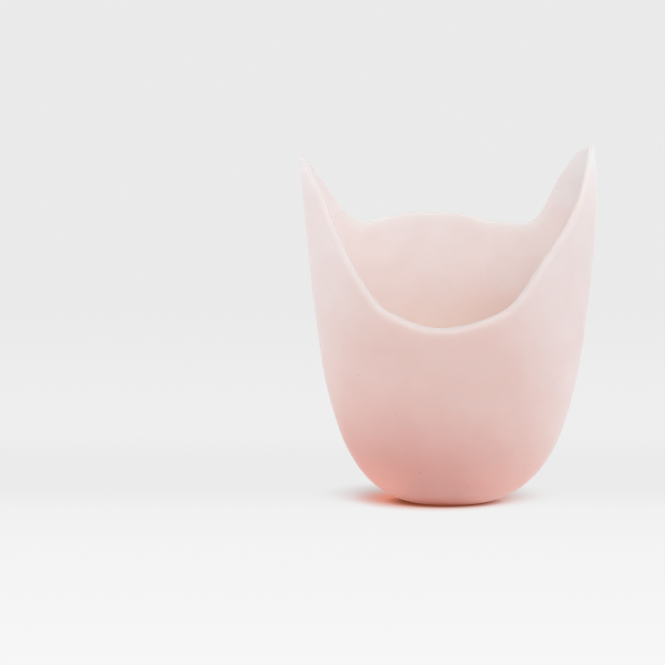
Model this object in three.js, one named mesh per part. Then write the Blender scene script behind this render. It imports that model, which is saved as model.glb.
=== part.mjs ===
import * as THREE from "three";

// A gel toe pad for a ballet pointe shoe: one moulded silicone cup that the toes slide into.
// Millimetres, +Z up. The pad stands on its toe end with its mouth upwards. -Y is the front,
// where the mouth dips lowest, +Y is the back, and a tab rises at each side, on -X and +X.
// The origin is the middle of the base of its bounding box.

// Outside sizes. The right tab, on +X, reaches the full height.
const PAD_HEIGHT = 92;
const MOUTH_WIDTH = 75;
const MOUTH_DEPTH = 40;

// The edge of the mouth, measured down from the top of the right tab, and the back edge's hump
const FRONT_DIP = 44.9;
const BACK_DIP = 20.7;
const BACK_HUMP = 2.7;
const LEFT_TAB_DROP = 2.4;

// The flat that the soft toe end makes on the surface that it stands on
const FOOT_WIDTH = 21.2;
const FOOT_DEPTH = 12.4;

// Gel under the toes, and gel at the top of the tabs
const TOE_WALL = 7;
const TAB_WALL = 1.3;

// How far both tabs lean towards -X at the top
const TAB_LEAN = 1.2;

// How square the oval of every level cut is: 2 is an ellipse
const SQUARENESS = 2.15;

// Heights of the edge of the mouth, where it turns
const EDGE_LEVELS = {
  front: PAD_HEIGHT - FRONT_DIP,
  back: PAD_HEIGHT - BACK_DIP,
  hump: PAD_HEIGHT - BACK_DIP + BACK_HUMP,
  left: PAD_HEIGHT - LEFT_TAB_DROP,
  right: PAD_HEIGHT,
};

// Level cuts. root is the square root of the cut's share of the pad's height. width and depth are
// shares of the way from the foot's to the mouth's, and wall is the share of the way from the tabs'
// wall to the toe's. lift is how steeply the way through the wall points up, as a share of a
// quarter turn. lean is the share of the tabs' lean.
const LEVEL_CUTS = [
  { root: 0.0, width: 0.0, depth: 0.0, wall: 1.0, lift: 1.0, lean: 0.0 },
  { root: 0.1, width: 0.085, depth: 0.09, wall: 0.97, lift: 0.9, lean: 0.0 },
  { root: 0.2, width: 0.268, depth: 0.29, wall: 0.87, lift: 0.75, lean: -0.1 },
  { root: 0.3, width: 0.452, depth: 0.495, wall: 0.7, lift: 0.55, lean: -0.22 },
  { root: 0.4, width: 0.603, depth: 0.655, wall: 0.54, lift: 0.38, lean: -0.28 },
  { root: 0.5, width: 0.722, depth: 0.762, wall: 0.43, lift: 0.25, lean: -0.28 },
  { root: 0.6, width: 0.812, depth: 0.84, wall: 0.35, lift: 0.16, lean: -0.26 },
  { root: 0.7, width: 0.883, depth: 0.9, wall: 0.27, lift: 0.09, lean: -0.24 },
  { root: 0.8, width: 0.942, depth: 0.946, wall: 0.16, lift: 0.05, lean: -0.2 },
  { root: 0.9, width: 0.987, depth: 0.98, wall: 0.06, lift: 0.02, lean: 0.05 },
  { root: 1.0, width: 1.0, depth: 1.0, wall: 0.0, lift: 0.0, lean: 1.0 },
];

// The edge of the mouth, anticlockwise from the front as seen from above. angle is in degrees from
// +X, and climb is the share of the way from one named level up to another.
const MOUTH_EDGE = [
  { angle: -93, from: "front", to: "right", climb: 0 },
  { angle: -84, from: "front", to: "right", climb: 0.02 },
  { angle: -75, from: "front", to: "right", climb: 0.06 },
  { angle: -67, from: "front", to: "right", climb: 0.12 },
  { angle: -60, from: "front", to: "right", climb: 0.23 },
  { angle: -52, from: "front", to: "right", climb: 0.39 },
  { angle: -44, from: "front", to: "right", climb: 0.52 },
  { angle: -36, from: "front", to: "right", climb: 0.65 },
  { angle: -29, from: "front", to: "right", climb: 0.77 },
  { angle: -22, from: "front", to: "right", climb: 0.89 },
  { angle: -15, from: "front", to: "right", climb: 0.97 },
  { angle: -7, from: "front", to: "right", climb: 0.995 },
  { angle: 3, from: "front", to: "right", climb: 1 },
  { angle: 16, from: "back", to: "right", climb: 0.965 },
  { angle: 26, from: "back", to: "right", climb: 0.87 },
  { angle: 34, from: "back", to: "right", climb: 0.71 },
  { angle: 41, from: "back", to: "right", climb: 0.5 },
  { angle: 46, from: "back", to: "right", climb: 0.28 },
  { angle: 51, from: "back", to: "right", climb: 0.08 },
  { angle: 57, from: "back", to: "right", climb: 0 },
  { angle: 65, from: "back", to: "hump", climb: 0.04 },
  { angle: 73, from: "back", to: "hump", climb: 0.3 },
  { angle: 84, from: "back", to: "hump", climb: 0.88 },
  { angle: 96, from: "back", to: "hump", climb: 1 },
  { angle: 107, from: "back", to: "hump", climb: 0.94 },
  { angle: 116, from: "back", to: "hump", climb: 0.5 },
  { angle: 123, from: "back", to: "hump", climb: 0.18 },
  { angle: 130, from: "back", to: "left", climb: 0.06 },
  { angle: 136, from: "back", to: "left", climb: 0.17 },
  { angle: 142, from: "back", to: "left", climb: 0.36 },
  { angle: 149, from: "back", to: "left", climb: 0.59 },
  { angle: 158, from: "back", to: "left", climb: 0.8 },
  { angle: 168, from: "back", to: "left", climb: 0.93 },
  { angle: 180, from: "back", to: "left", climb: 1 },
  { angle: 192, from: "front", to: "left", climb: 0.975 },
  { angle: 202, from: "front", to: "left", climb: 0.895 },
  { angle: 212, from: "front", to: "left", climb: 0.73 },
  { angle: 221, from: "front", to: "left", climb: 0.49 },
  { angle: 230, from: "front", to: "left", climb: 0.28 },
  { angle: 238, from: "front", to: "left", climb: 0.135 },
  { angle: 247, from: "front", to: "left", climb: 0.06 },
  { angle: 257, from: "front", to: "left", climb: 0.01 },
];

// The gel's look
const GEL_COLOR = new THREE.Color(0.79, 0.56, 0.52);
const GEL_ROUGHNESS = 0.5;

// Fineness of the mesh
const COLUMNS = 80;
const OUTER_ROWS = 24;
const INNER_ROWS = 22;
const LIP_STEPS = 4;
const PROFILE_SAMPLES = 160;
const EDGE_SAMPLES = 720;
const SMALL_TURN = 0.01;

const TURN = 2 * Math.PI;
const QUARTER_TURN = Math.PI / 2;
const lerp = THREE.MathUtils.lerp;

// A smooth curve through the points (xs, ys): a natural cubic spline.
function spline(xs, ys) {
  const count = xs.length;
  const bends = new Array(count).fill(0);
  const carry = new Array(count).fill(0);
  for (let i = 1; i < count - 1; i += 1) {
    const before = xs[i] - xs[i - 1];
    const after = xs[i + 1] - xs[i];
    const kink = (ys[i + 1] - ys[i]) / after - (ys[i] - ys[i - 1]) / before;
    const pivot = 2 * (before + after) - before * carry[i - 1];
    carry[i] = after / pivot;
    bends[i] = (6 * kink - before * bends[i - 1]) / pivot;
  }
  for (let i = count - 2; i > 0; i -= 1) {
    bends[i] -= carry[i] * bends[i + 1];
  }
  return (x) => {
    let i = 0;
    while (i < count - 2 && x > xs[i + 1]) {
      i += 1;
    }
    const width = xs[i + 1] - xs[i];
    const right = (x - xs[i]) / width;
    const left = 1 - right;
    const sag = (left ** 3 - left) * bends[i] + (right ** 3 - right) * bends[i + 1];
    return left * ys[i] + right * ys[i + 1] + (sag * width ** 2) / 6;
  };
}

// One column of the level cuts as a smooth function of height.
function cutColumn(name) {
  const curve = spline(
    LEVEL_CUTS.map((cut) => cut.root),
    LEVEL_CUTS.map((cut) => cut[name]),
  );
  return (z) => curve(Math.sqrt(Math.max(z, 0) / PAD_HEIGHT));
}

const widthShare = cutColumn("width");
const depthShare = cutColumn("depth");
const wallShare = cutColumn("wall");
const liftShare = cutColumn("lift");
const leanShare = cutColumn("lean");

// The height of the mouth's edge at an angle in radians.
const edgeHeight = (() => {
  const heights = MOUTH_EDGE.map((row) => lerp(EDGE_LEVELS[row.from], EDGE_LEVELS[row.to], row.climb));
  const angles = MOUTH_EDGE.map((row) => THREE.MathUtils.degToRad(row.angle));
  const laps = [-1, 0, 1];
  const curve = spline(
    laps.flatMap((lap) => angles.map((angle) => angle + lap * TURN)),
    laps.flatMap(() => heights),
  );
  return (angle) => curve(THREE.MathUtils.euclideanModulo(angle, TURN));
})();

// A point of the outside, at an angle round the pad and a height.
function outside(angle, z) {
  const halfWidth = lerp(FOOT_WIDTH, MOUTH_WIDTH, widthShare(z)) / 2;
  const halfDepth = lerp(FOOT_DEPTH, MOUTH_DEPTH, depthShare(z)) / 2;
  const cos = Math.cos(angle);
  const sin = Math.sin(angle);
  const reach = (Math.abs(cos) ** SQUARENESS + Math.abs(sin) ** SQUARENESS) ** (-1 / SQUARENESS);
  return new THREE.Vector3(
    halfWidth * reach * cos - TAB_LEAN * leanShare(z),
    halfDepth * reach * sin,
    z,
  );
}

// The inside lies one wall in from the outside, and higher up where the gel lies under the toes.
function inside(angle, z) {
  const along = outside(angle + SMALL_TURN, z).sub(outside(angle - SMALL_TURN, z)).normalize();
  const lift = QUARTER_TURN * liftShare(z);
  const wayIn = new THREE.Vector3(-along.y, along.x, 0)
    .multiplyScalar(Math.cos(lift))
    .setZ(Math.sin(lift));
  return outside(angle, z).addScaledVector(wayIn, lerp(TAB_WALL, TOE_WALL, wallShare(z)));
}

const edgePoint = (angle) => outside(angle, edgeHeight(angle));

// The way along the mouth's edge.
function edgeRun(angle) {
  return edgePoint(angle + SMALL_TURN).sub(edgePoint(angle - SMALL_TURN)).normalize();
}

// The height where the wall's side ends and its rounded lip begins.
function shoulderHeight(angle) {
  const top = edgeHeight(angle);
  const run = edgeRun(angle);
  const lip = outside(angle, top).distanceTo(inside(angle, top)) / 2;
  return top - lip / Math.hypot(run.x, run.y);
}

// The angles of the columns, spaced evenly along the mouth's edge.
function columnAngles() {
  const angles = Array.from({ length: EDGE_SAMPLES + 1 }, (_, i) => (TURN * i) / EDGE_SAMPLES);
  const lengths = [0];
  for (let i = 1; i <= EDGE_SAMPLES; i += 1) {
    lengths.push(lengths[i - 1] + edgePoint(angles[i]).distanceTo(edgePoint(angles[i - 1])));
  }
  const step = lengths[EDGE_SAMPLES] / COLUMNS;
  return Array.from({ length: COLUMNS }, (_, column) => crossing(lengths, angles, step * column));
}

// The value at which a rising list reaches a target.
function crossing(rising, values, target) {
  let i = 1;
  while (i < rising.length - 1 && rising[i] < target) {
    i += 1;
  }
  const share = (target - rising[i - 1]) / (rising[i] - rising[i - 1]);
  return lerp(values[i - 1], values[i], share);
}

// Heights up one column from the foot to the shoulder, spaced evenly along the wall. They are first
// taken closer together near the foot, where the wall runs almost level.
function columnHeights(angle, rows) {
  const top = shoulderHeight(angle);
  const heights = [0];
  const lengths = [0];
  for (let i = 1; i <= PROFILE_SAMPLES; i += 1) {
    heights.push(top * (i / PROFILE_SAMPLES) ** 2);
    lengths.push(lengths[i - 1] + outside(angle, heights[i]).distanceTo(outside(angle, heights[i - 1])));
  }
  const step = lengths[PROFILE_SAMPLES] / rows;
  return Array.from({ length: rows + 1 }, (_, row) => crossing(lengths, heights, step * row));
}

// The rounded lip: half a circle from the outside over to the inside, square to the edge.
function lipPoints(angle) {
  const z = shoulderHeight(angle);
  const middle = outside(angle, z).lerp(inside(angle, z), 0.5);
  const out = outside(angle, z).sub(middle);
  const up = out.clone().cross(edgeRun(angle)).setLength(out.length());
  return Array.from({ length: LIP_STEPS - 1 }, (_, step) => {
    const tilt = (Math.PI * (step + 1)) / LIP_STEPS;
    return middle.clone().addScaledVector(out, Math.cos(tilt)).addScaledVector(up, Math.sin(tilt));
  });
}

// Every ring of points from the foot up the outside, over the lip and down the inside.
function padRings() {
  const columns = columnAngles().map((angle) => [
    ...columnHeights(angle, OUTER_ROWS).map((z) => outside(angle, z)),
    ...lipPoints(angle),
    ...columnHeights(angle, INNER_ROWS).reverse().map((z) => inside(angle, z)),
  ]);
  return columns[0].map((_, ring) => columns.map((column) => column[ring]));
}

const middleOf = (ring) =>
  ring.reduce((sum, point) => sum.add(point), new THREE.Vector3()).divideScalar(ring.length);

// One closed surface: the rings joined by quads, with a fan over the foot and one over the toe's bed.
function padGeometry() {
  const rings = padRings();
  const points = rings.flat();
  const faces = [];
  for (let ring = 1; ring < rings.length; ring += 1) {
    for (let column = 0; column < COLUMNS; column += 1) {
      const next = (column + 1) % COLUMNS;
      const low = (ring - 1) * COLUMNS;
      const high = ring * COLUMNS;
      faces.push(low + column, low + next, high + next);
      faces.push(low + column, high + next, high + column);
    }
  }
  const lastRing = (rings.length - 1) * COLUMNS;
  const foot = points.push(middleOf(rings[0])) - 1;
  const bed = points.push(middleOf(rings[rings.length - 1])) - 1;
  for (let column = 0; column < COLUMNS; column += 1) {
    const next = (column + 1) % COLUMNS;
    faces.push(foot, next, column);
    faces.push(bed, lastRing + column, lastRing + next);
  }
  const geometry = new THREE.BufferGeometry().setFromPoints(points);
  geometry.setIndex(faces);
  geometry.computeVertexNormals();
  return geometry;
}

// The pad, with the middle of its bounding box's base at the origin.
function makePad() {
  const geometry = padGeometry();
  geometry.computeBoundingBox();
  const box = geometry.boundingBox;
  const centre = box.getCenter(new THREE.Vector3());
  geometry.translate(-centre.x, -centre.y, -box.min.z);
  const gel = new THREE.MeshStandardMaterial({
    color: GEL_COLOR,
    roughness: GEL_ROUGHNESS,
    metalness: 0,
  });
  const pad = new THREE.Mesh(geometry, gel);
  pad.name = "toe_pad";
  return pad;
}

const toePad = new THREE.Group();
toePad.add(makePad());

export default toePad;
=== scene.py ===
"""A gel toe pad for a pointe shoe, standing on its toe end on a pale studio floor.

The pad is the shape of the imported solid, worked out again from the same sizes as a finer mesh, with
the soft waviness of moulded gel and a material of translucent pale pink silicone.
"""

import math

import bpy
import numpy as np
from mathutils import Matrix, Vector, noise


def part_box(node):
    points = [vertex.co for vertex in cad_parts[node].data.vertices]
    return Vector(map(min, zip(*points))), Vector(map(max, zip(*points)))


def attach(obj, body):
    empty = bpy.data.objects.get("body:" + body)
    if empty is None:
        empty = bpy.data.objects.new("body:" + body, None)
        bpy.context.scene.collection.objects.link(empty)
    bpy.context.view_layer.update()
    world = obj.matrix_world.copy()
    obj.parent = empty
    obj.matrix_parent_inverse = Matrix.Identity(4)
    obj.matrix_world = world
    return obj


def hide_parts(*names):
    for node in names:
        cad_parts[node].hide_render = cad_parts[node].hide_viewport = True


MM = 0.001

# Outside sizes of the pad, in millimetres
PAD_HEIGHT = 92
MOUTH_WIDTH = 75
MOUTH_DEPTH = 40
FOOT_WIDTH = 21.2
FOOT_DEPTH = 12.4

# The edge of the mouth, measured down from the top of the right tab, and the back edge's hump
FRONT_DIP = 44.9
BACK_DIP = 20.7
BACK_HUMP = 2.7
LEFT_TAB_DROP = 2.4

# Gel under the toes and at the top of the tabs, the tabs' lean, and how square each level cut is
TOE_WALL = 7
TAB_WALL = 1.3
TAB_LEAN = 1.2
SQUARENESS = 2.15

EDGE_LEVELS = {
    "front": PAD_HEIGHT - FRONT_DIP,
    "back": PAD_HEIGHT - BACK_DIP,
    "hump": PAD_HEIGHT - BACK_DIP + BACK_HUMP,
    "left": PAD_HEIGHT - LEFT_TAB_DROP,
    "right": PAD_HEIGHT,
}

# Level cuts: the square root of the share of the height, the shares of the way from the foot's
# width and depth to the mouth's, the share of the way from the tabs' wall to the toe's, the share
# of a quarter turn that the way through the wall points up, and the share of the lean
LEVEL_CUTS = {
    "root": (0.0, 0.1, 0.2, 0.3, 0.4, 0.5, 0.6, 0.7, 0.8, 0.9, 1.0),
    "width": (0.0, 0.085, 0.268, 0.452, 0.603, 0.722, 0.812, 0.883, 0.942, 0.987, 1.0),
    "depth": (0.0, 0.09, 0.29, 0.495, 0.655, 0.762, 0.84, 0.9, 0.946, 0.98, 1.0),
    "wall": (1.0, 0.97, 0.87, 0.7, 0.54, 0.43, 0.35, 0.27, 0.16, 0.06, 0.0),
    "lift": (1.0, 0.9, 0.75, 0.55, 0.38, 0.25, 0.16, 0.09, 0.05, 0.02, 0.0),
    "lean": (0.0, 0.0, -0.1, -0.22, -0.28, -0.28, -0.26, -0.24, -0.2, 0.05, 1.0),
}

# The edge of the mouth, anticlockwise from the front: the angle in degrees from +X, the two named
# levels that its height lies between, and the share of the way from the first to the second
MOUTH_EDGE = (
    (-93, "front", "right", 0.0),
    (-84, "front", "right", 0.02),
    (-75, "front", "right", 0.06),
    (-67, "front", "right", 0.12),
    (-60, "front", "right", 0.23),
    (-52, "front", "right", 0.39),
    (-44, "front", "right", 0.52),
    (-36, "front", "right", 0.65),
    (-29, "front", "right", 0.77),
    (-22, "front", "right", 0.89),
    (-15, "front", "right", 0.97),
    (-7, "front", "right", 0.995),
    (3, "front", "right", 1.0),
    (16, "back", "right", 0.965),
    (26, "back", "right", 0.87),
    (34, "back", "right", 0.71),
    (41, "back", "right", 0.5),
    (46, "back", "right", 0.28),
    (51, "back", "right", 0.08),
    (57, "back", "right", 0.0),
    (65, "back", "hump", 0.04),
    (73, "back", "hump", 0.3),
    (84, "back", "hump", 0.88),
    (96, "back", "hump", 1.0),
    (107, "back", "hump", 0.94),
    (116, "back", "hump", 0.5),
    (123, "back", "hump", 0.18),
    (130, "back", "left", 0.06),
    (136, "back", "left", 0.17),
    (142, "back", "left", 0.36),
    (149, "back", "left", 0.59),
    (158, "back", "left", 0.8),
    (168, "back", "left", 0.93),
    (180, "back", "left", 1.0),
    (192, "front", "left", 0.975),
    (202, "front", "left", 0.895),
    (212, "front", "left", 0.73),
    (221, "front", "left", 0.49),
    (230, "front", "left", 0.28),
    (238, "front", "left", 0.135),
    (247, "front", "left", 0.06),
    (257, "front", "left", 0.01),
)

# Fineness of the mesh
COLUMNS = 320
OUTER_ROWS = 110
INNER_ROWS = 100
LIP_STEPS = 10
CAP_RINGS = 10
PROFILE_SAMPLES = 400
EDGE_SAMPLES = 1440
SMALL_TURN = 0.01

# The gel's soft waviness: how far it moves the surface, the length of its waves, and the height
# from which it has its full strength, in millimetres
WAVE_DEPTH = 0.14
WAVE_LENGTH = 14
WAVE_START = 8

# Finer waves on top of it: how many times shorter they are, and their share of its strength
FINE_TIMES = 2.3
FINE_SHARE = 0.5

# The edge's trimmed unevenness: how far it moves the surface, its length, and how far down the
# wall it dies away, in millimetres
TRIM_DEPTH = 0.09
TRIM_LENGTH = 3.5
TRIM_REACH = 2.5

# The bed under the toes is rounded into the wall by this many passes, up to this height, and the
# foot's edge is rounded up into the outside
BED_PASSES = 60
BED_HEIGHT = 14
FOOT_PASSES = 40
FOOT_HEIGHT = 3

TURN = 2 * math.pi
QUARTER_TURN = math.pi / 2


def spline(xs, ys):
    """A natural cubic spline through the points (xs, ys), as a function of an array."""
    xs = np.asarray(xs, float)
    ys = np.asarray(ys, float)
    gaps = np.diff(xs)
    slopes = np.diff(ys) / gaps
    system = np.eye(len(xs))
    kinks = np.zeros(len(xs))
    for i in range(1, len(xs) - 1):
        system[i, i - 1 : i + 2] = gaps[i - 1], 2 * (gaps[i - 1] + gaps[i]), gaps[i]
        kinks[i] = 6 * (slopes[i] - slopes[i - 1])
    bends = np.linalg.solve(system, kinks)

    def curve(x):
        i = np.clip(np.searchsorted(xs, x, side="right") - 1, 0, len(xs) - 2)
        right = (x - xs[i]) / gaps[i]
        left = 1 - right
        sag = (left**3 - left) * bends[i] + (right**3 - right) * bends[i + 1]
        return left * ys[i] + right * ys[i + 1] + sag * gaps[i] ** 2 / 6

    return curve


CUTS = {name: spline(LEVEL_CUTS["root"], shares) for name, shares in LEVEL_CUTS.items()}


def cut_share(name, z):
    """One column of the level cuts, at heights in millimetres."""
    return CUTS[name](np.sqrt(np.maximum(z, 0) / PAD_HEIGHT))


def mix(low, high, share):
    """A number part of the way from the low one to the high one."""
    return low + (high - low) * share


def edge_curve():
    """The height of the mouth's edge as a function of angles in radians."""
    angles = np.radians([row[0] for row in MOUTH_EDGE])
    heights = [mix(EDGE_LEVELS[low], EDGE_LEVELS[high], climb) for _, low, high, climb in MOUTH_EDGE]
    return spline(np.concatenate([angles - TURN, angles, angles + TURN]), heights * 3)


EDGE = edge_curve()


def edge_height(angle):
    """The height of the mouth's edge at any angle."""
    return EDGE(np.mod(angle, TURN))


def outside(angle, z):
    """Points of the pad's outside, in millimetres, at angles round it and heights."""
    angle, z = np.broadcast_arrays(angle, z)
    half_width = mix(FOOT_WIDTH, MOUTH_WIDTH, cut_share("width", z)) / 2
    half_depth = mix(FOOT_DEPTH, MOUTH_DEPTH, cut_share("depth", z)) / 2
    cos = np.cos(angle)
    sin = np.sin(angle)
    reach = (np.abs(cos) ** SQUARENESS + np.abs(sin) ** SQUARENESS) ** (-1 / SQUARENESS)
    x = half_width * reach * cos - TAB_LEAN * cut_share("lean", z)
    return np.stack([x, half_depth * reach * sin, z], -1)


def unit(vectors):
    """The vectors' directions, each of length 1."""
    return vectors / np.linalg.norm(vectors, axis=-1, keepdims=True)


def wall(z):
    """The thickness of the gel at heights, in millimetres."""
    return mix(TAB_WALL, TOE_WALL, cut_share("wall", z))


def inside(angle, z):
    """The inside lies one wall in from the outside, and higher up where gel lies under the toes."""
    along = unit(outside(angle + SMALL_TURN, z) - outside(angle - SMALL_TURN, z))
    lift = cut_share("lift", z) * QUARTER_TURN
    way_in = np.stack([-along[..., 1] * np.cos(lift), along[..., 0] * np.cos(lift), np.sin(lift)], -1)
    return outside(angle, z) + way_in * wall(z)[..., None]


def edge_point(angle):
    """The mouth's edge at an angle, on the outside."""
    return outside(angle, edge_height(angle))


def edge_run(angle):
    """The direction in which the mouth's edge runs."""
    return unit(edge_point(angle + SMALL_TURN) - edge_point(angle - SMALL_TURN))


def shoulder_height(angle):
    """The height where the wall's side ends and its rounded lip begins."""
    top = edge_height(angle)
    run = edge_run(angle)
    lip = np.linalg.norm(outside(angle, top) - inside(angle, top), axis=-1) / 2
    return top - lip / np.hypot(run[..., 0], run[..., 1])


def even_lengths(points):
    """Running length along a line of points."""
    steps = np.linalg.norm(np.diff(points, axis=0), axis=-1)
    return np.concatenate([[0], np.cumsum(steps)])


def column_angles():
    """The angles of the columns, spaced evenly along the mouth's edge."""
    angles = np.linspace(0, TURN, EDGE_SAMPLES + 1)
    lengths = even_lengths(edge_point(angles))
    return np.interp(np.linspace(0, lengths[-1], COLUMNS + 1)[:-1], lengths, angles)


def column_heights(angle, rows):
    """Heights up one column from the foot to the shoulder, spaced evenly along the wall."""
    heights = shoulder_height(angle) * np.linspace(0, 1, PROFILE_SAMPLES + 1) ** 2
    lengths = even_lengths(outside(angle, heights))
    return np.interp(np.linspace(0, lengths[-1], rows + 1), lengths, heights)


def lip_points(angle):
    """The rounded lip: half a circle from the outside over to the inside, square to the edge."""
    z = shoulder_height(angle)
    middle = (outside(angle, z) + inside(angle, z)) / 2
    out = outside(angle, z) - middle
    up = unit(np.cross(out, edge_run(angle))) * np.linalg.norm(out)
    tilts = np.pi * np.arange(1, LIP_STEPS) / LIP_STEPS
    return middle + np.outer(np.cos(tilts), out) + np.outer(np.sin(tilts), up)


def cap_rings(ring):
    """Rings that close a ring's flat, from its middle outwards, without the ring itself."""
    middle = ring.mean(axis=0)
    return [middle + (ring - middle) * share for share in np.arange(1, CAP_RINGS) / CAP_RINGS]


def round_off(rings, passes, low, high):
    """Round a corner off by levelling each column of rings between its neighbours: fully at the
    low height, and less and less up to the high one."""
    for _ in range(passes):
        level = (rings[2:] + rings[:-2]) / 2
        share = np.clip((high - rings[1:-1, :, 2:]) / (high - low), 0, 1)
        rings[1:-1] += (level - rings[1:-1]) * share / 2
    return rings


def pad_rings():
    """All rings of points: foot, outside, lip, inside and bed."""
    columns = []
    for angle in column_angles():
        outer = outside(angle, column_heights(angle, OUTER_ROWS))
        inner = inside(angle, column_heights(angle, INNER_ROWS)[::-1])
        columns.append(np.concatenate([outer, lip_points(angle), inner]))
    wall_rings = np.array(columns).swapaxes(0, 1)
    foot = np.array(cap_rings(wall_rings[0]))
    bed = np.array(cap_rings(wall_rings[-1])[::-1])
    bend = len(wall_rings) // 2
    outer = np.concatenate([foot, wall_rings[:bend]])
    inner = np.concatenate([wall_rings[bend:], bed])
    return np.concatenate(
        [
            round_off(outer, FOOT_PASSES, 0, FOOT_HEIGHT),
            round_off(inner, BED_PASSES, TOE_WALL, BED_HEIGHT),
        ]
    )


def wave(point, normal, edge):
    """One point moved along its normal by the gel's waviness, less and less towards the foot, and
    by the trimmed unevenness near the mouth's edge."""
    strength = min(point.z / (WAVE_START * MM), 1)
    place = point / (WAVE_LENGTH * MM)
    height = noise.noise(place) + noise.noise(place * FINE_TIMES) * FINE_SHARE
    trim = noise.noise(point / (TRIM_LENGTH * MM)) * math.exp(-((edge / TRIM_REACH) ** 2))
    return point + normal * (height * strength * WAVE_DEPTH + trim * TRIM_DEPTH) * MM


def ring_faces(rings):
    """Quads between neighbouring rings, and a fan of triangles over the first and the last."""
    column = np.arange(COLUMNS)
    follow = (column + 1) % COLUMNS
    faces = []
    for ring in range(1, rings):
        low = (ring - 1) * COLUMNS
        high = ring * COLUMNS
        faces += np.stack([low + column, low + follow, high + follow, high + column], -1).tolist()
    last = (rings - 1) * COLUMNS
    foot = rings * COLUMNS
    faces += np.stack([np.full(COLUMNS, foot), follow, column], -1).tolist()
    faces += np.stack([np.full(COLUMNS, foot + 1), last + column, last + follow], -1).tolist()
    return faces


def edge_distances(rings):
    """Every point's distance from the mouth's edge in millimetres, below 0 on the inside."""
    lip = OUTER_ROWS + CAP_RINGS - 1 + LIP_STEPS // 2
    steps = np.linalg.norm(np.diff(rings, axis=0), axis=-1)
    reach = np.zeros(rings.shape[:2])
    reach[lip + 1 :] = -np.cumsum(steps[lip:], axis=0)
    reach[:lip] = np.cumsum(steps[:lip][::-1], axis=0)[::-1]
    return np.concatenate([reach.ravel(), [reach[0].mean(), reach[-1].mean()]])


def make_pad():
    """The pad's fine mesh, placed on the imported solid's box."""
    rings = pad_rings()
    points = rings.reshape(-1, 3)
    low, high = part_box("toe_pad")
    middle = (points.min(axis=0) + points.max(axis=0)) / 2
    shift = np.array([(low.x + high.x) / 2, (low.y + high.y) / 2, low.z]) - middle * (MM, MM, 0)
    points = np.concatenate([points, [rings[0].mean(axis=0), rings[-1].mean(axis=0)]]) * MM + shift
    mesh = bpy.data.meshes.new("toe_pad_gel")
    mesh.from_pydata(points.tolist(), [], ring_faces(len(rings)))
    mesh.shade_smooth()
    edges = edge_distances(rings)
    moved = [wave(vertex.co, vertex.normal, edge) for vertex, edge in zip(mesh.vertices, edges)]
    for vertex, place in zip(mesh.vertices, moved):
        vertex.co = place
    attribute = mesh.attributes.new("edge_distance", "FLOAT", "POINT")
    attribute.data.foreach_set("value", edges.astype(np.float32))
    pad = bpy.data.objects.new("toe_pad_gel", mesh)
    bpy.context.collection.objects.link(pad)
    return pad


# A mix node's inputs for the share and the two colours, and its output for the mixed colour
MIX_INPUTS = (0, 6, 7)
MIX_OUTPUT = 2


def add(tree, kind, settings=None, inputs=None):
    """A new node with its settings, and its inputs set to values or joined to sockets."""
    node = tree.nodes.new(kind)
    for name, value in (settings or {}).items():
        setattr(node, name, value)
    for name, value in (inputs or {}).items():
        if isinstance(value, bpy.types.NodeSocket):
            tree.links.new(value, node.inputs[name])
        else:
            node.inputs[name].default_value = value
    return node


def coordinate(tree, place, axis):
    """One of a place's three coordinates."""
    return add(tree, "ShaderNodeSeparateXYZ", inputs={"Vector": place}).outputs[axis]


def vector_math(tree, operation, *values):
    """The outputs of one vector calculation."""
    inputs = dict(enumerate(values))
    return add(tree, "ShaderNodeVectorMath", {"operation": operation}, inputs).outputs


def straight_rise(tree, value, start, end, first=0, last=1):
    """A straight passage from the first number to the last while a value goes from start to end."""
    limits = {"Value": value, "From Min": start, "From Max": end, "To Min": first, "To Max": last}
    return add(tree, "ShaderNodeMapRange", inputs=limits).outputs["Result"]


def smooth_rise(tree, value, start, end):
    """A smooth rise from 0 to 1 while a value goes from start to end."""
    settings = {"interpolation_type": "SMOOTHSTEP"}
    limits = {"Value": value, "From Min": start, "From Max": end}
    return add(tree, "ShaderNodeMapRange", settings, limits).outputs["Result"]


def noise_value(tree, place, scale, detail):
    """Soft noise of a given scale and detail."""
    inputs = {"Vector": place, "Scale": scale, "Detail": detail}
    return add(tree, "ShaderNodeTexNoise", inputs=inputs).outputs["Fac"]


def blend(tree, share, first, second, how="MIX"):
    """A colour part of the way from the first to the second."""
    settings = {"data_type": "RGBA", "blend_type": how}
    inputs = dict(zip(MIX_INPUTS, (share, first, second)))
    return add(tree, "ShaderNodeMix", settings, inputs).outputs[MIX_OUTPUT]


def multiply(tree, share, first, second):
    """The first colour, multiplied by the second as far as the share says."""
    return blend(tree, share, first, second, "MULTIPLY")


def fade(tree, value, limits, first, second):
    """The first colour, giving way to the second while a value goes between the two limits."""
    return blend(tree, smooth_rise(tree, value, *limits), first, second)


def grey_ramp(tree, value, stops):
    """Greys at places along a value, with soft passages between them."""
    first, last = stops[0][0], stops[-1][0]
    share = straight_rise(tree, value, first, last)
    ramp = add(tree, "ShaderNodeValToRGB", inputs={"Fac": share})
    ramp.color_ramp.interpolation = "EASE"
    for place, _ in stops[1:-1]:
        ramp.color_ramp.elements.new((place - first) / (last - first))
    for element, (_, grey) in zip(ramp.color_ramp.elements, stops):
        element.color = (grey, grey, grey, 1)
    return ramp.outputs["Color"]


def new_material(name):
    """An empty material, whose glow lights things softly as part of their surroundings."""
    material = bpy.data.materials.new(name)
    material.use_nodes = True
    material.node_tree.nodes.clear()
    material.cycles.emission_sampling = "NONE"
    return material, material.node_tree


# Linear colours of the gel's outside: the foot, the thick toe end, the body, and the sides and tabs
# The foot's colour is a painted red shade where the gel meets the floor
FOOT_PAINTED_SHADE = (0.72, 0.31, 0.25, 1)
TOE_COLOR = (0.69, 0.373, 0.33, 1)
BODY_COLOR = (0.81, 0.597, 0.563, 1)
# The tabs' colour: paler thin gel, and painted light where its oval reaches the sides
TAB_COLOR_AND_PAINTED_LIGHT = (0.845, 0.695, 0.685, 1)
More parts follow.
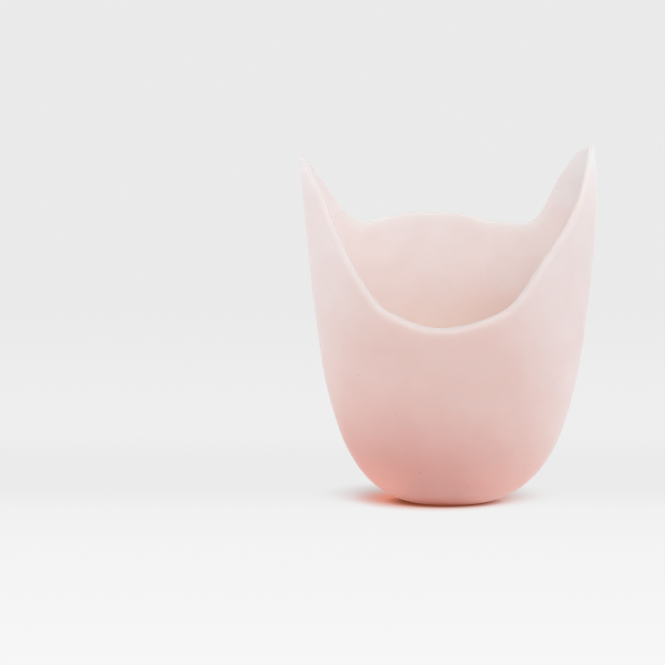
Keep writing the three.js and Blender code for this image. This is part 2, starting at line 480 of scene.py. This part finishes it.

# The mouth's edge, a painted highlight band: its outer side, and from its top over to the inside
EDGE_PAINTED_HIGHLIGHT = (0.92, 0.735, 0.705, 1)
RIM_PAINTED_HIGHLIGHT = (0.925, 0.77, 0.735, 1)

# The inside, with painted light coming through its walls: deep down, further up, and in the tabs
DEEP_COLOR_AND_PAINTED_LIGHT = (0.935, 0.71, 0.655, 1)
INSIDE_COLOR_AND_PAINTED_LIGHT = (0.92, 0.72, 0.70, 1)
POCKET_COLOR_AND_PAINTED_LIGHT = (0.90, 0.795, 0.785, 1)

# The thin tips of the tabs, outside and inside: pale thin gel with painted light shining through
TIP_COLOR_AND_PAINTED_LIGHT = (0.89, 0.865, 0.86, 1)

# What the colours are multiplied by: painted light on the toe end's lighter flanks, a painted red
# glow at its ends, where light comes through the most gel, and the cloudy patches
FLANK_PAINTED_LIGHT = (1.16, 1.10, 1.06, 1)
END_PAINTED_GLOW = (0.99, 0.84, 0.80, 1)
CLOUD_TINT = (0.985, 0.965, 0.96, 1)
WHITE = (1, 1, 1, 1)

# Ovals in the gel: the middle and the half sizes in metres, where 1 leaves a direction out
TOE_OVAL = ((-0.0105, 0, 0), (0.0455, 0.040, 0.036))
TAB_OVAL = ((-0.0045, 0, 0), (0.038, 0.080, 0.080))
FLANK_OVAL = ((-0.002, 0, 0), (0.014, 1, 1))
END_OVAL = ((0, 0, 0), (0.020, 1, 1))
END_DEPTH_OVAL = ((0, 0, 0), (1, 0.012, 1))

# The shares of the ovals' half sizes where a colour or a tint begins and where it is full
TOE_FADE = (0.28, 1.055)
TAB_FADE = (0.66, 1.05)
FLANK_FADE = (0.2, 1.0)
END_FADE = (0.4, 1.0)
END_DEPTH_FADE = (1.0, 0.17)

# The heights in metres where a colour or a tint begins and where it is full
FOOT_FADE = (0.0005, 0.004)
FLANK_TOP = (0.016, 0.006)
END_TOP = (0.028, 0.006)
DEEP_FADE = (0.040, 0.064)
POCKET_FADE = (0.071, 0.080)
TIP_FADE = (0.074, 0.091)

# The distances from the mouth's edge in millimetres where a colour begins and where it is full
EDGE_FADE = (3.5, 0)
RIM_FADE = (0, -1)
INSIDE_FADE = (-1, -4.5)

# The cloudy patches: how small they are, how ragged, and the cloud's values where their tint begins
# and where it is full
CLOUD_SCALE = 130
CLOUD_DETAIL = 3
CLOUD_FADE = (0.35, 0.7)

# Dark specks in the gel: the angle in degrees from +X, the height and the size in millimetres, and
# how dark it is
SPECKS = (
    (226.8, 34.8, 0.24, 0.22),
    (243.8, 25.4, 0.25, 0.3),
    (281.6, 32.5, 0.3, 0.25),
    (286.1, 13.9, 0.3, 0.5),
    (252.0, 10.2, 0.28, 0.4),
    (282.4, 6.1, 0.35, 0.35),
    (36.0, 41.0, 0.25, 0.4),
    (75.0, 19.0, 0.3, 0.35),
    (118.0, 52.0, 0.22, 0.4),
    (166.0, 28.0, 0.28, 0.45),
    (350.0, 37.0, 0.25, 0.35),
)

# Their colour, and how many times its size away from a speck it begins and is full
SPECK_COLOR = (0.45, 0.36, 0.36, 1)
SPECK_FADE = (2, 0.5)

# The gel's skin: how rough it is, its index of refraction, and the soft sheen of its satin finish
ROUGHNESS = 0.42
IOR = 1.41
SHEEN = 0.5
SHEEN_ROUGHNESS = 0.35
SHEEN_TINT = (1, 0.95, 0.93, 1)

# The fine grain of the skin: how small and how ragged it is, how strong, and its depth in metres
GRAIN_SCALE = 900
GRAIN_DETAIL = 4
GRAIN_STRENGTH = 0.12
GRAIN_DEPTH = 0.0003

# Light in the gel: how far it goes in metres, the shares of that for red, green and blue, how much
# of it goes in at all below the thin tabs and in them, and the heights in metres in between
GLOW_REACH = 0.01
GLOW_SHARES = (1.0, 0.8, 0.77)
GLOW_AMOUNTS = (1.0, 0.35)
THIN_FADE = (0.070, 0.084)


def oval_distance(tree, place, middle, half_sizes):
    """How far a place is from a middle, as a share of an oval's half sizes."""
    apart = vector_math(tree, "SUBTRACT", place, middle)["Vector"]
    shares = vector_math(tree, "DIVIDE", apart, half_sizes)["Vector"]
    return vector_math(tree, "LENGTH", shares)["Value"]


def tint_where(tree, shares, color, tint):
    """The colour, multiplied by the tint as far as all of the shares have risen to 1."""
    for share in shares:
        tint = blend(tree, share, WHITE, tint)
    return multiply(tree, 1, color, tint)


def outside_color_and_painted_light(tree, place, height):
    """The outside, from the foot through the thick toe end and the body to the tabs, with painted red
    shade at the foot, painted light on the sides and a painted red glow at the ends.
    """
    flanks = (
        smooth_rise(tree, oval_distance(tree, place, *FLANK_OVAL), *FLANK_FADE),
        smooth_rise(tree, height, *FLANK_TOP),
    )
    ends = (
        smooth_rise(tree, oval_distance(tree, place, *END_OVAL), *END_FADE),
        smooth_rise(tree, oval_distance(tree, place, *END_DEPTH_OVAL), *END_DEPTH_FADE),
        smooth_rise(tree, height, *END_TOP),
    )
    color = fade(tree, height, FOOT_FADE, FOOT_PAINTED_SHADE, TOE_COLOR)
    color = tint_where(tree, flanks, color, FLANK_PAINTED_LIGHT)
    color = fade(tree, oval_distance(tree, place, *TOE_OVAL), TOE_FADE, color, BODY_COLOR)
    color = tint_where(tree, ends, color, END_PAINTED_GLOW)
    return fade(tree, oval_distance(tree, place, *TAB_OVAL), TAB_FADE, color, TAB_COLOR_AND_PAINTED_LIGHT)


def inside_color_and_painted_light(tree, height):
    """The inside, from deep down to the tabs, with painted light coming through its walls."""
    color = fade(tree, height, DEEP_FADE, DEEP_COLOR_AND_PAINTED_LIGHT, INSIDE_COLOR_AND_PAINTED_LIGHT)
    return fade(tree, height, POCKET_FADE, color, POCKET_COLOR_AND_PAINTED_LIGHT)


def gel_color_and_painted_light(tree, place):
    """The gel's colour outside, with a painted highlight over the mouth's edge, painted light inside
    and in the pale tips, and cloudy patches.
    """
    height = coordinate(tree, place, "Z")
    edge = add(tree, "ShaderNodeAttribute", {"attribute_name": "edge_distance"}).outputs["Fac"]
    color = outside_color_and_painted_light(tree, place, height)
    color = fade(tree, edge, EDGE_FADE, color, EDGE_PAINTED_HIGHLIGHT)
    color = fade(tree, edge, RIM_FADE, color, RIM_PAINTED_HIGHLIGHT)
    color = fade(tree, edge, INSIDE_FADE, color, inside_color_and_painted_light(tree, height))
    color = fade(tree, height, TIP_FADE, color, TIP_COLOR_AND_PAINTED_LIGHT)
    cloud = noise_value(tree, place, CLOUD_SCALE, CLOUD_DETAIL)
    return multiply(tree, smooth_rise(tree, cloud, *CLOUD_FADE), color, CLOUD_TINT)


def add_specks(tree, place, color):
    """The colour with the dark specks in it."""
    for angle, height, size, darkness in SPECKS:
        spot = outside(math.radians(angle), height) * MM
        away = oval_distance(tree, place, tuple(spot), (size * MM,) * 3)
        dark = straight_rise(tree, away, *SPECK_FADE, last=darkness)
        color = multiply(tree, dark, color, SPECK_COLOR)
    return color


def gel_material():
    """Translucent satin silicone, with the gel's colours, its specks and its fine grain."""
    material, tree = new_material("gel")
    place = add(tree, "ShaderNodeTexCoord").outputs["Object"]
    height = coordinate(tree, place, "Z")
    bump = {
        "Height": noise_value(tree, place, GRAIN_SCALE, GRAIN_DETAIL),
        "Strength": GRAIN_STRENGTH,
        "Distance": GRAIN_DEPTH,
    }
    surface = {
        "Base Color": add_specks(tree, place, gel_color_and_painted_light(tree, place)),
        "Roughness": ROUGHNESS,
        "IOR": IOR,
        "Subsurface Weight": straight_rise(tree, height, *THIN_FADE, *GLOW_AMOUNTS),
        "Subsurface Radius": GLOW_SHARES,
        "Subsurface Scale": GLOW_REACH,
        "Sheen Weight": SHEEN,
        "Sheen Roughness": SHEEN_ROUGHNESS,
        "Sheen Tint": SHEEN_TINT,
        "Normal": add(tree, "ShaderNodeBump", inputs=bump).outputs["Normal"],
    }
    gel = add(tree, "ShaderNodeBsdfPrincipled", inputs=surface).outputs["BSDF"]
    add(tree, "ShaderNodeOutputMaterial", inputs={"Surface": gel})
    return material


# The studio: the floor's grey, the pale grey of the distance, the light from all around, and the
# floor's size in metres and in sides
FLOOR_COLOR = (0.92, 0.92, 0.92, 1)
DISTANCE_COLOR = (0.825, 0.825, 0.828, 1)
AMBIENT_COLOR = (0.25, 0.25, 0.255, 1)
FLOOR_RADIUS = 3
FLOOR_SIDES = 64

# Ovals on the floor round the pad, each with its middle and its half sizes in metres, and the
# shares of them where it begins to fade and where it has gone: the lit floor with the light and shade
# that the pad casts, a painted warm glow of light through the gel, and a painted dark red contact
# shadow
LIT_OVAL = ((-0.002, 0.010, 0), (0.026, 0.017, 1), (0.6, 1.3))
WARM_OVAL = ((-0.0033, 0.0045, 0), (0.0133, 0.0110, 1), (0.6, 1.75))
DEEP_OVAL = ((-0.0006, 0.001, 0), (0.0108, 0.0073, 1), (0.9, 1.5))
PAINTED_WARM_GLOW = (0.77, 0.25, 0.16, 1)
PAINTED_CONTACT_SHADOW = (0.22, 0.05, 0.02, 1)

# The plain floor's painted grey at places from front to back in metres, with painted shade where the
# light falls off behind the pad
PAINTED_FLOOR_GREYS = (
    (-0.20, 0.935),
    (-0.06, 0.90),
    (-0.015, 0.88),
    (0.02, 0.83),
    (0.06, 0.83),
    (0.12, 0.855),
    (0.50, 0.825),
)


def cover(tree, place, oval, inner, outer):
    """The inner shader in the middle of an oval, giving way to the outer one round it."""
    middle, half_sizes, reach = oval
    share = smooth_rise(tree, oval_distance(tree, place, middle, half_sizes), *reach)
    inputs = dict(enumerate((share, inner, outer)))
    return add(tree, "ShaderNodeMixShader", inputs=inputs).outputs["Shader"]


def emit(tree, color):
    """A plain glow of one colour."""
    return add(tree, "ShaderNodeEmission", inputs={"Color": color}).outputs["Emission"]


def floor_material():
    """Lit near the pad, with a painted warm glow and a painted dark red shadow at the contact, and
    plain painted grey further off.
    """
    material, tree = new_material("floor")
    place = add(tree, "ShaderNodeTexCoord").outputs["Object"]
    painted_greys = grey_ramp(tree, coordinate(tree, place, "Y"), PAINTED_FLOOR_GREYS)
    near = add(tree, "ShaderNodeBsdfDiffuse", inputs={"Color": FLOOR_COLOR}).outputs["BSDF"]
    floor = cover(tree, place, LIT_OVAL, near, emit(tree, painted_greys))
    floor = cover(tree, place, WARM_OVAL, emit(tree, PAINTED_WARM_GLOW), floor)
    floor = cover(tree, place, DEEP_OVAL, emit(tree, PAINTED_CONTACT_SHADOW), floor)
    add(tree, "ShaderNodeOutputMaterial", inputs={"Surface": floor})
    return material


def make_floor():
    """A round floor."""
    mesh = bpy.data.meshes.new("floor")
    turns = [TURN * i / FLOOR_SIDES for i in range(FLOOR_SIDES)]
    rim = [(FLOOR_RADIUS * math.cos(turn), FLOOR_RADIUS * math.sin(turn), 0) for turn in turns]
    mesh.from_pydata(rim, [], [tuple(range(FLOOR_SIDES))])
    mesh.materials.append(floor_material())
    floor = bpy.data.objects.new("floor", mesh)
    bpy.context.collection.objects.link(floor)


def make_backdrop():
    """A pale dome that the camera sees and that lights nothing."""
    rows = FLOOR_SIDES // 2
    bpy.ops.mesh.primitive_uv_sphere_add(radius=FLOOR_RADIUS, segments=FLOOR_SIDES, ring_count=rows)
    dome = bpy.context.object
    dome.name = "backdrop"
    material, tree = new_material("backdrop")
    add(tree, "ShaderNodeOutputMaterial", inputs={"Surface": emit(tree, DISTANCE_COLOR)})
    dome.data.materials.append(material)
    dome.visible_diffuse = False
    dome.visible_transmission = False
    dome.visible_volume_scatter = False
    dome.visible_shadow = False


def make_world():
    """Dim light from all around."""
    world = bpy.data.worlds.new("studio")
    world.use_nodes = True
    world.node_tree.nodes["Background"].inputs["Color"].default_value = AMBIENT_COLOR
    bpy.context.scene.world = world


# Soft boxes: name, where each stands, its width and its height in metres, its power in watts, and
# whether the gel mirrors it
SOFT_BOXES = (
    ("key_light", (0.2, -0.95, 0.8), 1.1, 0.9, 7.4, True),
    ("top_light", (0.0, 0.0, 1.0), 0.8, 0.8, 1.7, True),
    ("back_light", (0.1, 1.0, 0.6), 0.9, 0.7, 3.6, False),
    ("right_light", (0.95, 0.1, 0.17), 0.6, 0.6, 3.0, False),
    ("left_light", (-0.95, 0.1, 0.12), 0.6, 0.5, 4.2, False),
)


def aim(thing, target):
    """Turn a light to face a target."""
    thing.rotation_euler = (Vector(target) - thing.location).to_track_quat("-Z", "Y").to_euler()


def make_lights():
    """The soft boxes, all facing the middle of the pad."""
    for name, place, width, height, power, mirrored in SOFT_BOXES:
        light = bpy.data.lights.new(name, "AREA")
        light.shape = "RECTANGLE"
        light.size = width
        light.size_y = height
        light.energy = power
        box = bpy.data.objects.new(name, light)
        box.location = place
        box.visible_glossy = mirrored
        bpy.context.collection.objects.link(box)
        aim(box, (0, 0, PAD_HEIGHT * MM / 2))


# The photograph's viewpoint, a little above the pad: its place in metres, the degrees that the
# camera looks down, and its lens in millimetres
CAMERA_PLACE = (-0.02942, -0.53551, 0.104)
CAMERA_TILT = 6.38
CAMERA_LENS = 113.57


def make_camera():
    """The camera at the photograph's viewpoint."""
    lens = bpy.data.cameras.new("camera")
    lens.lens = CAMERA_LENS
    camera = bpy.data.objects.new("camera", lens)
    camera.location = CAMERA_PLACE
    camera.rotation_euler = (QUARTER_TURN - math.radians(CAMERA_TILT), 0, 0)
    bpy.context.collection.objects.link(camera)
    bpy.context.scene.camera = camera


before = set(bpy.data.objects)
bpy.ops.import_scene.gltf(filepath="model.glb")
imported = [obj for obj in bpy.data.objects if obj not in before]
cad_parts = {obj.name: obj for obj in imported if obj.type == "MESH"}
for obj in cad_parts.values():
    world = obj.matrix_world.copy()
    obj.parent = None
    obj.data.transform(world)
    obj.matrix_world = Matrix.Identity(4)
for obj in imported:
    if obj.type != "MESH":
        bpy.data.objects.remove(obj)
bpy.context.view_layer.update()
make_camera()
make_world()
make_floor()
make_backdrop()
make_lights()
pad = make_pad()
pad.data.materials.append(gel_material())
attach(pad, "root")
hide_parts("toe_pad")
bpy.context.scene.view_settings.view_transform = "Standard"
